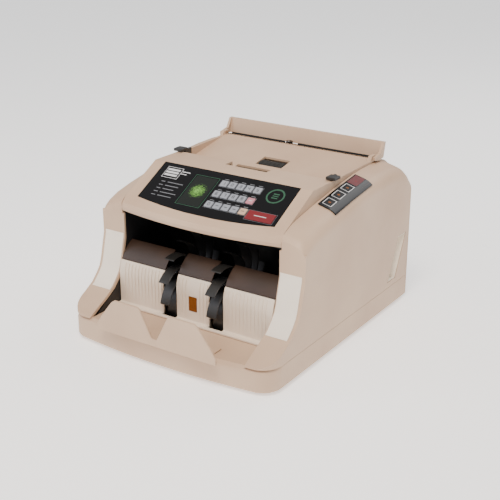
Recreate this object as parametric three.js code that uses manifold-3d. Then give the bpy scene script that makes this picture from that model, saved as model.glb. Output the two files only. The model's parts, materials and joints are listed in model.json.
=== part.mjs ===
// Desktop banknote counting machine, in millimetres.
// Origin: middle of the footprint, on the surface it stands on.
// +X is right seen from the front, the front faces -Y, +Z is up.
import * as THREE from "three";
import { mergeVertices } from "three/addons/utils/BufferGeometryUtils.js";
import Module from "manifold-3d";

// Overall size
const WIDTH = 250;
const DEPTH = 303; // from the stop plate to the rear cover
const HEIGHT = 185; // to the top edge of the support flap

// Casings
const WALL = 2.5;
const GAP = 0.3; // between pieces that touch
const COLUMN = 29; // width of each front column, beside the stacker pocket
const NOSE = 75; // from the stop plate's face to the front of the columns
const SEAM = 27; // from each side to the seam between the centre block and the side cover
const FOOT = 2.7;
const TUB_TOP = 27.5; // parting line between the base and the side covers
const NOSE_BOW = 6.5;
const CORNER = 22; // plan radius of the front corners
const SHOULDER_R = 16;
const SHOULDER_TILT = 15; // degrees
const FASCIA_BOW = 8;

// Control panel
const PANEL_W = 168;
const PANEL_SLOPE_LENGTH = 54.7; // at its two ends; the middle reaches further by PANEL_BOW
const PANEL_SLOPE = 27.6; // degrees
const PANEL_BOW = 7.5;
const PANEL_THICK = 1.2;
const KEY_W = 8.2;
const KEY_D = 8;
const KEY_PITCH = 10.2;
const ROW_PITCH = 15.3;
const KEY_RISE = 0.9; // stands above the panel
const KEY_DEEP = 2.6; // reaches below the panel's face
const KEY_TRAVEL = 0.8;

// Note path
const WHEEL_R = 48;
const WHEEL_W = 12;
const WHEEL_X = 29; // from the middle to each stacker wheel
const HUB_R = 15;
const FIN_COUNT = 12;
const FIN_THICK = 2.6;
const FIN_SWEEP = 48; // degrees from root to tip
const GUARD_R = WHEEL_R - 11.5;
const THROAT = 15; // gap that the notes are fed down through
const SHAFT_R = 4;
const FEED_R = 12;
const PICKUP_R = 12;
const PULLEY_R = 7;
const BELT = 1.4;
const FRAME = 2; // side frame thickness
const GUIDE_W = 3;
const FLAP_PIN_R = 2;
const GRIP_DEEP = 9;

// Places worked out from the driving dimensions
const HALF = WIDTH / 2;
const FRONT = -DEPTH / 2;
const REAR = DEPTH / 2;
const POCKET = HALF - COLUMN;
const BLOCK = HALF - SEAM;
const BASE_Z = FOOT + GAP;
const FACE_Y = FRONT + NOSE; // front face of the columns
const SLOPE = THREE.MathUtils.degToRad(PANEL_SLOPE);
const RIDGE_Z = HEIGHT - 16;
const RIDGE_Y = FACE_Y + 9.5 + PANEL_SLOPE_LENGTH * Math.cos(SLOPE); // rear edge of the panel
const POCKET_TOP = RIDGE_Z - PANEL_SLOPE_LENGTH * Math.sin(SLOPE) - 15.7;
const HOPPER_REAR = REAR - 40;
const UPPER_RUN = HOPPER_REAR - THROAT - RIDGE_Y; // shared by the ridge and the hopper
const RIDGE_REAR = RIDGE_Y + 0.361 * UPPER_RUN; // front wall of the note throat
const HOPPER_FRONT = RIDGE_REAR + THROAT;
const AXLE = { y: FACE_Y + 25, z: BASE_Z + WHEEL_R + 9 };
const FEED = { y: RIDGE_REAR + 1, z: RIDGE_Z - 28 };
const LINER_REAR = AXLE.y + WHEEL_R + 6;
const HOPPER_LOW = RIDGE_Z - 11.5;
const HOPPER_HIGH = RIDGE_Z + 1.5;
const PICKUP_Y = HOPPER_FRONT + (HOPPER_REAR - HOPPER_FRONT) / 3;
const floorZ = (y) =>
  HOPPER_LOW + ((HOPPER_HIGH - HOPPER_LOW) * (y - HOPPER_FRONT)) / (HOPPER_REAR - HOPPER_FRONT);
const PICKUP = { y: PICKUP_Y, z: floorZ(PICKUP_Y) - PICKUP_R + 0.5 };
const MOTOR_R = 20;
const MOTOR = { y: (LINER_REAR + REAR) / 2 - 7.5, z: BASE_Z + 42 };
const FRAME_X = POCKET + GAP;
const BELT_X = FRAME_X + FRAME + 3;
const BELT_W = 5;
const INLET = { x: -72, z: BASE_Z + 47, w: 28, h: 21, deep: 22 };
const SWITCH = { x: -36, z: BASE_Z + 47, w: 14, h: 21 };
const GAP_SCREW = { x: -13, y: HOPPER_REAR + 6.2, r: 3.8 };
const KEY_FIELD = { x: 37, w: 82, top: -8, bottom: -55 };
const FLAP_PIN = { y: HOPPER_REAR - 2, z: HOPPER_HIGH };

const wasm = await Module();
wasm.setup();

// Solids

function solid(geometry) {
  const bare = geometry.clone();
  bare.deleteAttribute("normal");
  bare.deleteAttribute("uv");
  const merged = mergeVertices(bare, 1e-4);
  const vertProperties = new Float32Array(merged.attributes.position.array);
  const triVerts = new Uint32Array(merged.index.array);
  return new wasm.Manifold(new wasm.Mesh({ numProp: 3, vertProperties, triVerts }));
}

const joined = (...pieces) => pieces.reduce((all, piece) => all.add(piece));
const cut = (body, ...tools) => tools.reduce((rest, tool) => rest.subtract(tool), body);

function box(x0, x1, y0, y1, z0, z1) {
  const geometry = new THREE.BoxGeometry(x1 - x0, y1 - y0, z1 - z0);
  geometry.translate((x0 + x1) / 2, (y0 + y1) / 2, (z0 + z1) / 2);
  return solid(geometry);
}

const X = new THREE.Vector3(1, 0, 0);
const Y = new THREE.Vector3(0, 1, 0);
const Z = new THREE.Vector3(0, 0, 1);
const AXES = {
  x: new THREE.Matrix4().makeBasis(Y, Z, X),
  y: new THREE.Matrix4().makeBasis(X, Z, Y.clone().negate()),
  z: new THREE.Matrix4(),
};

// An outline drawn across an axis (y,z for x; x,z for y; x,y for z), run along it from one place to another.
function prism(axis, outline, from, to, matrix) {
  const shape = new THREE.Shape(outline.map(([u, v]) => new THREE.Vector2(u, v)));
  const geometry = new THREE.ExtrudeGeometry(shape, { depth: to - from, bevelEnabled: false });
  geometry.translate(0, 0, axis === "y" ? -to : from);
  geometry.applyMatrix4(AXES[axis]);
  if (matrix) geometry.applyMatrix4(matrix);
  return solid(geometry);
}

function circle(u, v, radius, count, start = 0, sweep = 360) {
  const steps = sweep === 360 ? count : count - 1;
  return Array.from({ length: count }, (_, i) => {
    const angle = THREE.MathUtils.degToRad(start + (sweep * i) / steps);
    return [u + radius * Math.cos(angle), v + radius * Math.sin(angle)];
  });
}

const rod = (axis, u, v, radius, from, to, count = 20) =>
  prism(axis, circle(u, v, radius, count), from, to);

// A closed skin through rings of equal point count, with flat ends.
function loft(rings, flat) {
  const count = rings[0].length;
  const faces = [];
  for (let i = 0; i + 1 < rings.length; i++) {
    for (let j = 0; j < count; j++) {
      const a = i * count + j;
      const b = i * count + ((j + 1) % count);
      faces.push(a, b, b + count, a, b + count, a + count);
    }
  }
  const contour = rings[0].map((point) => new THREE.Vector2(...flat(point)));
  const turn = Math.sign(THREE.ShapeUtils.area(contour));
  const last = (rings.length - 1) * count;
  for (const corners of THREE.ShapeUtils.triangulateShape(contour, [])) {
    const sameTurn = Math.sign(THREE.ShapeUtils.area(corners.map((i) => contour[i]))) === turn;
    const [a, b, c] = sameTurn ? corners : corners.toReversed();
    faces.push(a, c, b, last + a, last + b, last + c);
  }
  const geometry = new THREE.BufferGeometry();
  geometry.setAttribute("position", new THREE.Float32BufferAttribute(rings.flat(2), 3));
  geometry.setIndex(faces);
  const made = solid(geometry);
  if (made.volume() > 0) return made;
  for (let i = 0; i < faces.length; i += 3) [faces[i + 1], faces[i + 2]] = [faces[i + 2], faces[i + 1]];
  geometry.setIndex(faces);
  return solid(geometry);
}

const mirrorPoints = (points) => points.map(([x, ...rest]) => [-x, ...rest]);
const symmetric = (points) => [...points, ...mirrorPoints(points).reverse()];

// Finished pieces

const FINISH = {
  shell: { color: 0xb9a692, roughness: 0.55, metalness: 0 },
  black: { color: 0x151414, roughness: 0.45, metalness: 0 },
  gloss: { color: 0x0c0c0d, roughness: 0.15, metalness: 0 },
  steel: { color: 0x9a9c9e, roughness: 0.35, metalness: 1 },
  rubber: { color: 0x1b1b1c, roughness: 0.85, metalness: 0 },
  green: { color: 0x2e6b34, roughness: 0.4, metalness: 0 },
  grey: { color: 0x9fa3ab, roughness: 0.5, metalness: 0 },
  pink: { color: 0xc98a94, roughness: 0.5, metalness: 0 },
  red: { color: 0xb32630, roughness: 0.45, metalness: 0 },
  amber: { color: 0x7a4a1c, roughness: 0.2, metalness: 0 },
  board: { color: 0x1f5a3a, roughness: 0.6, metalness: 0 },
};
const materials = Object.fromEntries(
  Object.entries(FINISH).map(([name, look]) => [name, new THREE.MeshStandardMaterial(look)]),
);

const machine = new THREE.Group();

function piece(name, finish, body) {
  const made = body.getMesh();
  const geometry = new THREE.BufferGeometry();
  const points = new Float32Array(made.numVert * 3);
  for (let i = 0; i < made.numVert; i++) {
    points.set(made.vertProperties.subarray(i * made.numProp, i * made.numProp + 3), i * 3);
  }
  geometry.setAttribute("position", new THREE.BufferAttribute(points, 3));
  geometry.setIndex(new THREE.BufferAttribute(made.triVerts, 1));
  geometry.computeVertexNormals();
  const mesh = new THREE.Mesh(geometry, materials[finish]);
  mesh.name = name;
  machine.add(mesh);
  return mesh;
}

// The same solid on the other side of the middle plane.
function mirrored(body) {
  const made = body.getMesh();
  const vertProperties = new Float32Array(made.vertProperties);
  for (let i = 0; i < vertProperties.length; i += made.numProp) vertProperties[i] *= -1;
  const triVerts = new Uint32Array(made.triVerts);
  for (let i = 0; i < triVerts.length; i += 3) {
    [triVerts[i + 1], triVerts[i + 2]] = [triVerts[i + 2], triVerts[i + 1]];
  }
  return new wasm.Manifold(new wasm.Mesh({ numProp: 3, vertProperties, triVerts }));
}

function pair(name, finish, body) {
  piece(name + "_right", finish, body);
  piece(name + "_left", finish, mirrored(body));
}

// Casings

// Plan of the machine, drawn in by an inset: bowed front, round front corners, straight sides.
function plan(inset, reach = 0) {
  const side = HALF - inset;
  const nose = FRONT + 7.5 + inset + reach;
  const radius = Math.max(CORNER - inset, 2);
  const corner = circle(side - radius, nose + NOSE_BOW + radius, radius, 8, 0, -90);
  const bow = [0.8, 0.6, 0.4, 0.2].map((t) => [t * (side - radius), nose + NOSE_BOW * t * t]);
  return symmetric([[side, REAR - inset], ...corner, ...bow]);
}

function baseChassis() {
  const ring = (points, z) => points.map(([x, y]) => [x, y, z]);
  const shell = loft(
    [
      ring(plan(1.5), BASE_Z),
      ring(plan(0), BASE_Z + 2),
      ring(plan(0), TUB_TOP - 6),
      ring(plan(0, 1.5), TUB_TOP - 2.5),
      ring(plan(0, 5), TUB_TOP),
    ],
    ([x, y]) => [x, y],
  );
  const inside = prism("z", plan(WALL + 0.01, 5), BASE_Z + WALL, TUB_TOP + 1);
  const trayRear = AXLE.y - GUARD_R - 2;
  const tray = prism("z", plan(0.2, 5), TUB_TOP - WALL, TUB_TOP).intersect(
    box(-POCKET + GAP, POCKET - GAP, FRONT, trayRear, 0, TUB_TOP),
  );
  const opening = box(-BLOCK, BLOCK, REAR - WALL - 1, REAR + 1, TUB_TOP - 6, TUB_TOP + 1);
  const relief = box(-HALF, HALF, REAR - WALL - GAP, REAR + 1, BASE_Z + 10, TUB_TOP + 1);
  return cut(joined(cut(shell, inside), tray), opening, relief);
}

// Height of the shoulder where it meets the centre block, along the depth.
const sideRun = REAR - FACE_Y;
const CREST = [
  [FACE_Y, HEIGHT - 49],
  [FACE_Y + 0.012 * sideRun, HEIGHT - 45.6],
  [FACE_Y + 0.031 * sideRun, HEIGHT - 42.8],
  [FACE_Y + 0.079 * sideRun, HEIGHT - 38.5],
  [FACE_Y + 0.17 * sideRun, HEIGHT - 34],
  [FACE_Y + 0.272 * sideRun, HEIGHT - 30],
  [FACE_Y + 0.43 * sideRun, HEIGHT - 24.5],
  [FACE_Y + 0.605 * sideRun, HEIGHT - 19.8],
  [FACE_Y + 0.7 * sideRun, HEIGHT - 18.7],
  [FACE_Y + 0.825 * sideRun, HEIGHT - 18.7],
  [REAR - 20, HEIGHT - 22],
  [REAR - 13, HEIGHT - 25.2],
  [REAR - 7, HEIGHT - 29.8],
  [REAR - WALL - GAP, HEIGHT - 35.5],
];

// Cross-section of the shoulder and side wall, drawn in by an inset.
function shoulder(crest, bottom, inset) {
  const tilt = THREE.MathUtils.degToRad(SHOULDER_TILT);
  const edge = BLOCK + GAP;
  const centreX = HALF - SHOULDER_R;
  const run = centreX + SHOULDER_R * Math.sin(tilt) - edge;
  const centreZ = crest - run * Math.tan(tilt) - SHOULDER_R * Math.cos(tilt);
  const arc = circle(centreX, centreZ, SHOULDER_R - inset, 8, 0, 90 - SHOULDER_TILT);
  return [[HALF - inset, bottom], ...arc, [edge, crest - inset / Math.cos(tilt)]];
}

// Side outline of a front column, from its top down to the parting line, drawn in by an inset.
function columnFace(inset) {
  const low = TUB_TOP - inset;
  const face = FACE_Y + inset;
  return [
    [face, HEIGHT - 49],
    [face, low + 72],
    [face - 7, low + 44],
    [face - 10, low + 36],
    [face - 15, low + 29.5],
    [face - 23, low + 21.5],
    [face - 34, low + 15],
    [face - 52, low + 5.8],
    [face - 57, low + 3.2],
    [FRONT + 14 + inset, low + GAP],
  ];
}

function sideCover() {
  const bottom = TUB_TOP + GAP;
  const rings = CREST.map(([y, crest]) => {
    const outer = shoulder(crest, bottom, 0);
    const inner = shoulder(crest, bottom, WALL).reverse();
    return [...outer, ...inner].map(([x, z]) => [x, y, z]);
  });
  const shell = loft(rings, ([x, , z]) => [x, z]);
  const crown = prism(
    "y",
    [...shoulder(HEIGHT - 49, bottom, 0), [BLOCK + GAP, bottom]],
    FACE_Y,
    FACE_Y + WALL,
  );
  const back = [FACE_Y + WALL, bottom];
  const column = prism("x", [...columnFace(0), back, [FACE_Y + WALL, HEIGHT - 49]], POCKET, HALF);
  const behind = FACE_Y + 2 * WALL;
  const hollowBack = [
    [behind, bottom - WALL],
    [behind, HEIGHT - 49],
  ];
  const hollow = prism("x", [...columnFace(WALL), ...hollowBack], POCKET - 1, HALF - WALL);
  const limit = prism("z", plan(0), bottom, HEIGHT);
  const room = prism("z", plan(WALL), 0, HEIGHT);
  const overTop = box(POCKET - 1, HALF + 1, FACE_Y - 1, FACE_Y + WALL + 1, HEIGHT - 60, HEIGHT);
  const front = cut(column.intersect(limit), hollow.intersect(room), overTop);
  const lowCrown = joined(front, crown);
  const step = box(0, BLOCK, FACE_Y, FACE_Y + WALL + 1, POCKET_TOP - GAP, HEIGHT);
  const cup = prism("x", gripOutline(WALL), HALF - WALL - GRIP_DEEP, HALF - WALL + 0.5);
  const scoop = prism("x", gripOutline(0), HALF - GRIP_DEEP, HALF + 1);
  return cut(joined(lowCrown, shell, cup), step, scoop);
}

// Slanted hand grip in the side cover.
function gripOutline(grow) {
  const low = BASE_Z + 31;
  const tall = 48;
  const lean = 22;
  const wide = 19;
  const y = REAR - 49;
  return [
    [y - grow, low - grow],
    [y + wide + grow, low - grow],
    [y + lean + wide + grow, low + tall + grow],
    [y + lean - grow, low + tall + grow],
  ];
}

function rearCover() {
  const line = (inset) => [
    [HOPPER_REAR + 10.5, HEIGHT - 17.5 - inset],
    [REAR - 23, HEIGHT - 19.5 - inset],
    [REAR - 15, HEIGHT - 22.5 - inset],
    [REAR - 8 - inset * 0.5, HEIGHT - 27 - inset * 0.8],
    [REAR - 2.5 - inset * 0.8, HEIGHT - 33.5 - inset * 0.5],
    [REAR - inset, HEIGHT - 41],
  ];
  const deckEnd = [
    [REAR, HEIGHT - 50],
    [REAR - WALL, HEIGHT - 50],
  ];
  const deck = prism("x", [...line(0), ...deckEnd, ...line(WALL).reverse()], -BLOCK, BLOCK);
  const deckTop = HEIGHT - 17.5;
  const tongueX = GAP_SCREW.x;
  const tongue = box(tongueX - 8, tongueX + 8, HOPPER_REAR + 1, HOPPER_REAR + 12, deckTop - WALL, deckTop);
  const outline = symmetric([
    [HALF, BASE_Z + 10 + GAP],
    ...shoulder(HEIGHT - 37, BASE_Z + 10 + GAP, 0).slice(1),
    [BLOCK, HEIGHT - 45],
  ]);
  const back = prism("y", outline, REAR - WALL, REAR);
  const vents = [];
  for (let row = 0; row < 7; row++) {
    const z = BASE_Z + 52 + row * 8;
    vents.push(box(8, 78, REAR - WALL - 1, REAR + 1, z, z + 3.2));
  }
  const inletHole = box(
    INLET.x - INLET.w / 2 - GAP,
    INLET.x + INLET.w / 2 + GAP,
    REAR - WALL - 1,
    REAR + 1,
    INLET.z - INLET.h / 2 - GAP,
    INLET.z + INLET.h / 2 + GAP,
  );
  const switchHole = box(
    SWITCH.x - SWITCH.w / 2 - GAP,
    SWITCH.x + SWITCH.w / 2 + GAP,
    REAR - WALL - 1,
    REAR + 1,
    SWITCH.z - SWITCH.h / 2 - GAP,
    SWITCH.z + SWITCH.h / 2 + GAP,
  );
  const screwWell = rod("z", GAP_SCREW.x, GAP_SCREW.y, SHAFT_R / 2 + GAP, 0, HEIGHT, 12);
  return cut(joined(deck, back, tongue), ...vents, inletHole, switchHole, screwWell);
}

// Panel frame: its origin is the middle of the panel's rear edge, +Y up the slope, +Z out of the panel.
const panelMatrix = new THREE.Matrix4()
  .makeTranslation(0, RIDGE_Y, RIDGE_Z)
  .multiply(new THREE.Matrix4().makeRotationX(SLOPE));

function panelOutline(grow) {
  const half = PANEL_W / 2;
  const front = (x) => -PANEL_SLOPE_LENGTH - PANEL_BOW * (1 - (x / half) ** 2);
  const steps = [1, 0.8, 0.6, 0.4, 0.2];
  const edge = steps.map((t) => [t * (half + grow), front(t * half) - grow]);
  return symmetric([[half + grow, grow], ...edge]);
}

function frontFascia() {
  const stations = [-1, -0.85, -0.7, -0.5, -0.3, -0.1, 0.1, 0.3, 0.5, 0.7, 0.85, 1];
  const rings = stations.map((t) => {
    const x = t * BLOCK;
    const bow = 1 - t * t;
    const lip = FACE_Y - GAP - FASCIA_BOW * bow;
    const panelRun = (PANEL_SLOPE_LENGTH + 4 + PANEL_BOW * bow) * Math.cos(SLOPE);
    const frontY = RIDGE_Y - panelRun;
    const frontZ = RIDGE_Z - panelRun * Math.tan(SLOPE);
    const outer = [
      [lip + 1, POCKET_TOP - 1.5 * bow],
      [lip, POCKET_TOP + 4 - 1.5 * bow],
      [lip + 1.5, POCKET_TOP + 9 - 1.5 * bow],
      [frontY, frontZ],
      [RIDGE_Y, RIDGE_Z],
      [RIDGE_REAR, RIDGE_Z - 0.5],
    ];
    const inner = [
      [RIDGE_REAR, RIDGE_Z - 0.5 - WALL],
      [RIDGE_Y, RIDGE_Z - WALL],
      [frontY + 1.5, frontZ - WALL],
      [lip + 4, POCKET_TOP + 8 - 1.5 * bow],
      [lip + WALL, POCKET_TOP + 4 - 1.5 * bow],
      [lip + 1 + WALL, POCKET_TOP - 1.5 * bow],
    ];
    return [...outer, ...inner].map(([y, z]) => [x, y, z]);
  });
  const skin = loft(rings, ([, y, z]) => [y, z]);
  const cheekTop = [
    [FACE_Y + 8, POCKET_TOP + 10],
    [RIDGE_Y, RIDGE_Z - 1],
    [RIDGE_REAR, RIDGE_Z - 1],
  ];
  const cheekLow = [
    [RIDGE_REAR, RIDGE_Z - 17],
    [RIDGE_Y + 4, RIDGE_Z - 17],
    [FACE_Y + 10, POCKET_TOP + 3],
    [FACE_Y + 4, POCKET_TOP + 3],
  ];
  const cheek = prism("x", [...cheekTop, ...cheekLow], BLOCK - WALL, BLOCK);
  const throatWall = box(-BLOCK, BLOCK, RIDGE_REAR - WALL, RIDGE_REAR, RIDGE_Z - 15, RIDGE_Z - 1);
  const recess = prism("z", panelOutline(GAP), -PANEL_THICK - GAP, 5, panelMatrix);
  const half = KEY_FIELD.w / 2 + 3;
  const windowOutline = [
    [KEY_FIELD.x - half, KEY_FIELD.top],
    [KEY_FIELD.x + half, KEY_FIELD.top],
    [KEY_FIELD.x + half, KEY_FIELD.bottom],
    [KEY_FIELD.x - half, KEY_FIELD.bottom],
  ];
  const notch = box(-26, 26, RIDGE_REAR - 14, RIDGE_REAR + 1, RIDGE_Z - 8, RIDGE_Z + 1);
  const keyWindow = prism("z", windowOutline, -12, 0, panelMatrix);
  const body = joined(skin, cheek, mirrored(cheek), throatWall);
  return cut(body, recess, keyWindow, notch);
}

function hopperTray() {
  const side = BLOCK;
  const slab = [
    [HOPPER_FRONT, HOPPER_LOW],
    [HOPPER_REAR, HOPPER_HIGH],
    [HOPPER_REAR, HOPPER_HIGH - WALL],
    [HOPPER_FRONT, HOPPER_LOW - WALL],
  ];
  const tray = prism("x", slab, -side, side);
  const rimLine = [
    [RIDGE_REAR + GAP, RIDGE_Z - 0.5],
    [HOPPER_REAR - 10, RIDGE_Z],
    [HOPPER_REAR - 7, RIDGE_Z + 5],
    [HOPPER_REAR + 2, RIDGE_Z + 5],
    [HOPPER_REAR + 2, HOPPER_HIGH - WALL],
    [HOPPER_FRONT, HOPPER_LOW - WALL],
    [RIDGE_REAR + GAP, HOPPER_LOW - WALL],
  ];
  const rim = prism("x", rimLine, side - 4, side);
  const pinHole = rod("x", FLAP_PIN.y, FLAP_PIN.z, FLAP_PIN_R + GAP, -side - 1, side + 1, 12);
  const slotHalf = Math.sqrt(PICKUP_R ** 2 - (PICKUP_R - WALL - 1.2) ** 2) + 1.2;
  const slotFrom = PICKUP.y - slotHalf;
  const slotTo = PICKUP.y + slotHalf;
  const pickupWindow = box(-16.5, 16.5, slotFrom, slotTo, HOPPER_LOW - 5, RIDGE_Z);
  const notch = box(-34, 34, HOPPER_FRONT - 1, HOPPER_FRONT + 7, HOPPER_LOW - 5, RIDGE_Z);
  const rearLip = box(-side + 4, side - 4, HOPPER_REAR - WALL, HOPPER_REAR, HOPPER_HIGH - 6, HOPPER_HIGH);
  return cut(joined(tray, rim, mirrored(rim), rearLip), pinHole, pickupWindow, notch);
}

// Note path

// Convex guard that the stacked notes rest against, open where the wheels pass.
function stackerGuard() {
  const arc = (radius) => circle(AXLE.y, AXLE.z, radius, 8, 153, 34);
  const foot = (radius) => [AXLE.y - radius, TUB_TOP + GAP];
  const outline = [...arc(GUARD_R), foot(GUARD_R), foot(GUARD_R - WALL), ...arc(GUARD_R - WALL).reverse()];
  const guard = prism("x", outline, -POCKET + GAP, POCKET - GAP);
  const toeTop = TUB_TOP + GAP + WALL;
  const clear = WHEEL_R + 1;
  const toeRear = AXLE.y - Math.sqrt(clear ** 2 - (AXLE.z - toeTop) ** 2);
  const toe = box(-POCKET + GAP, POCKET - GAP, toeRear - 4, AXLE.y - GUARD_R + 0.5, TUB_TOP + GAP, toeTop);
  const half = WHEEL_W / 2 + 2.5;
  const slots = [-1, 1].map((side) => {
    const x = side * WHEEL_X;
    return box(x - half, x + half, toeRear, AXLE.y, TUB_TOP, AXLE.z + GUARD_R);
  });
  const windowHole = box(-5, 5, AXLE.y - GUARD_R - 1, AXLE.y - GUARD_R + WALL + 1, AXLE.z - 19, AXLE.z - 3);
  return cut(joined(guard, toe), ...slots, windowHole);
}

function sensorWindow() {
  return box(-5 + GAP, 5 - GAP, AXLE.y - GUARD_R, AXLE.y - GUARD_R + 2, AXLE.z - 19 + GAP, AXLE.z - 3 - GAP);
}

function stopPlate() {
  const low = TUB_TOP + GAP;
  const outline = symmetric([
    [73, low],
    [73, low + 7],
    [67, low + 16],
    [53, low + 34],
    [49, low + 37],
    [20, low + 37],
    [17, low + 35],
    [3, low + 8],
  ]);
  const ears = prism("y", outline, FRONT, FRONT + WALL);
  const shelf = box(-58, 58, FRONT + WALL - 0.5, FRONT + 32, low, low + 1.6);
  return joined(ears, shelf);
}

// Black sheet behind and above the stacker wheels.
function pocketLiner() {
  const roofFront = [FACE_Y + 6, POCKET_TOP - 4];
  const corner = [LINER_REAR - 2, AXLE.z + WHEEL_R + 4];
  const bottom = [LINER_REAR - 2, BASE_Z + WALL + 2];
  const outline = [
    roofFront,
    corner,
    bottom,
    [bottom[0] + 2, bottom[1]],
    [corner[0] + 2, corner[1] + 2],
    [roofFront[0], roofFront[1] + 2],
  ];
  return prism("x", outline, -POCKET + GAP, POCKET - GAP);
}

function sideFrame() {
  const bottom = BASE_Z + WALL + GAP;
  const rear = HOPPER_REAR + 1;
  const under = WALL + 1;
  const outline = [
    [FACE_Y + 3, bottom],
    [FRONT + 46, bottom],
    [FRONT + 46, TUB_TOP - WALL - 1],
    [FRONT + 24, TUB_TOP - WALL - 1],
    [FRONT + 27, TUB_TOP + 0.3],
    [FACE_Y - 33, TUB_TOP + 10.5],
    [FACE_Y - 21, TUB_TOP + 17.5],
    [FACE_Y - 12.5, TUB_TOP + 26],
    [FACE_Y - 7, TUB_TOP + 33],
    [FACE_Y - 4, TUB_TOP + 41],
    [FACE_Y + 3, TUB_TOP + 69],
    [FACE_Y + 3, POCKET_TOP - 1],
    [RIDGE_Y + 5, POCKET_TOP - 1],
    [RIDGE_Y + 7, RIDGE_Z - 19],
    [RIDGE_REAR + 1, RIDGE_Z - 19],
    [HOPPER_FRONT, floorZ(HOPPER_FRONT) - under],
    [HOPPER_REAR - 6, floorZ(HOPPER_REAR - 6) - under],
    [HOPPER_REAR - 4, HOPPER_HIGH - 8],
    [rear, HOPPER_HIGH - 8],
    [rear, bottom],
  ];
  const plate = prism("x", outline, FRAME_X, FRAME_X + FRAME);
  const holes = [AXLE, FEED, PICKUP, MOTOR].map((at) => {
    return rod("x", at.y, at.z, SHAFT_R + GAP, FRAME_X - 1, FRAME_X + FRAME + 1, 16);
  });
  const relief = box(0, HALF, FACE_Y - 60, FACE_Y + 3, 0, bottom + 0.01);
  return cut(plate, ...holes, relief);
}

const shaft = (at) => rod("x", at.y, at.z, SHAFT_R, -BELT_X - BELT_W, FRAME_X + FRAME + 2, 16);
const bored = (body, at, from, to) => cut(body, rod("x", at.y, at.z, SHAFT_R + GAP, from - 1, to + 1, 16));
const collar = (at, radius, from, to, count = 24) =>
  bored(rod("x", at.y, at.z, radius, from, to, count), at, from, to);

// Hub with curved fins that sweep back as they rise from it.
function stackerWheel(x) {
  const from = x - WHEEL_W / 2;
  const to = x + WHEEL_W / 2;
  const hub = rod("x", AXLE.y, AXLE.z, HUB_R, from, to, 24);
  const root = HUB_R - 2;
  const side = (turn, shift) =>
    [0, 0.25, 0.5, 0.75, 1].map((share) => {
      const radius = root + share * (WHEEL_R - root);
      const sweep = THREE.MathUtils.degToRad(turn + FIN_SWEEP * share ** 1.4);
      const angle = sweep + shift / radius;
      return [AXLE.y + radius * Math.cos(angle), AXLE.z + radius * Math.sin(angle)];
    });
  const fins = [];
  for (let i = 0; i < FIN_COUNT; i++) {
    const turn = (360 * i) / FIN_COUNT;
    fins.push(prism("x", [...side(turn, 0), ...side(turn, FIN_THICK).reverse()], from, to));
  }
  return bored(joined(hub, ...fins), AXLE, from, to);
}

const pulley = (at) => collar(at, PULLEY_R, -BELT_X - BELT_W, -BELT_X - 0.2);

// The belt's loop round its pulleys: the hull of their circles, less the same hull drawn in.
function driveBelt() {
  const hull = (radius) => {
    const points = [AXLE, FEED, PICKUP, MOTOR].flatMap((at) => circle(at.y, at.z, radius, 24));
    points.sort((a, b) => a[0] - b[0] || a[1] - b[1]);
    const turn = (o, a, b) => (a[0] - o[0]) * (b[1] - o[1]) - (a[1] - o[1]) * (b[0] - o[0]);
    const half = (list) => {
      const kept = [];
      for (const point of list) {
        while (kept.length > 1 && turn(kept.at(-2), kept.at(-1), point) <= 1e-6) kept.pop();
        kept.push(point);
      }
      return kept.slice(0, -1);
    };
    return [...half(points), ...half(points.toReversed())];
  };
  const from = -BELT_X - BELT_W + 0.3;
  const to = -BELT_X - 0.5;
  const loop = prism("x", hull(PULLEY_R + GAP + BELT), from, to);
  return cut(loop, prism("x", hull(PULLEY_R + GAP), from - 1, to + 1));
}

function driveMotor() {
  const can = rod("x", MOTOR.y, MOTOR.z, MOTOR_R, -POCKET + GAP, -POCKET + 52, 32);
  const boss = rod("x", MOTOR.y, MOTOR.z, 8, -POCKET + 51, -POCKET + 56, 20);
  return cut(joined(can, boss), rod("x", MOTOR.y, MOTOR.z, SHAFT_R, -POCKET - 1, -POCKET + 4, 16));
}

function motorPulley() {
  const stub = rod("x", MOTOR.y, MOTOR.z, SHAFT_R - 0.4, -BELT_X - 1, -POCKET + 3, 16);
  return joined(rod("x", MOTOR.y, MOTOR.z, PULLEY_R, -BELT_X - BELT_W, -BELT_X - 0.2, 24), stub);
}

function noteGuide() {
  const outer = BLOCK - 4 - GAP;
  const y0 = RIDGE_REAR + 2.5;
  const y1 = HOPPER_FRONT - 1.2;
  const blade = box(outer - GUIDE_W, outer, y0, y1, FEED.z + FEED_R + 2, RIDGE_Z + 2);
  const knob = box(outer - GUIDE_W, outer + 8, RIDGE_REAR - 5, y0 + 4, RIDGE_Z + 0.5, RIDGE_Z + 3.6);
  return joined(blade, knob);
}

function supportFlap() {
  const arm = [
    [FLAP_PIN.y - 3, FLAP_PIN.z - 1.5],
    [FLAP_PIN.y + 4, FLAP_PIN.z - 3],
    [FLAP_PIN.y + 16.6, HEIGHT - 16.8],
    [FLAP_PIN.y + 21, HEIGHT],
    [FLAP_PIN.y + 16.5, HEIGHT],
    [FLAP_PIN.y + 10, FLAP_PIN.z + 4],
    [FLAP_PIN.y - 3, FLAP_PIN.z + 1.5],
  ];
  const bar = [
    [FLAP_PIN.y + 13.4, HEIGHT - 16.8],
    [FLAP_PIN.y + 16.6, HEIGHT - 16.8],
    [FLAP_PIN.y + 21, HEIGHT],
    [FLAP_PIN.y + 17.5, HEIGHT],
  ];
  const armIn = BLOCK + GAP;
  const side = prism("x", arm, armIn, armIn + 3);
  const pin = rod("x", FLAP_PIN.y, FLAP_PIN.z, FLAP_PIN_R, BLOCK - 3, armIn + 1, 12);
  const arms = joined(side, pin);
  return joined(arms, mirrored(arms), prism("x", bar, -armIn - 1, armIn + 1));
}

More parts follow.
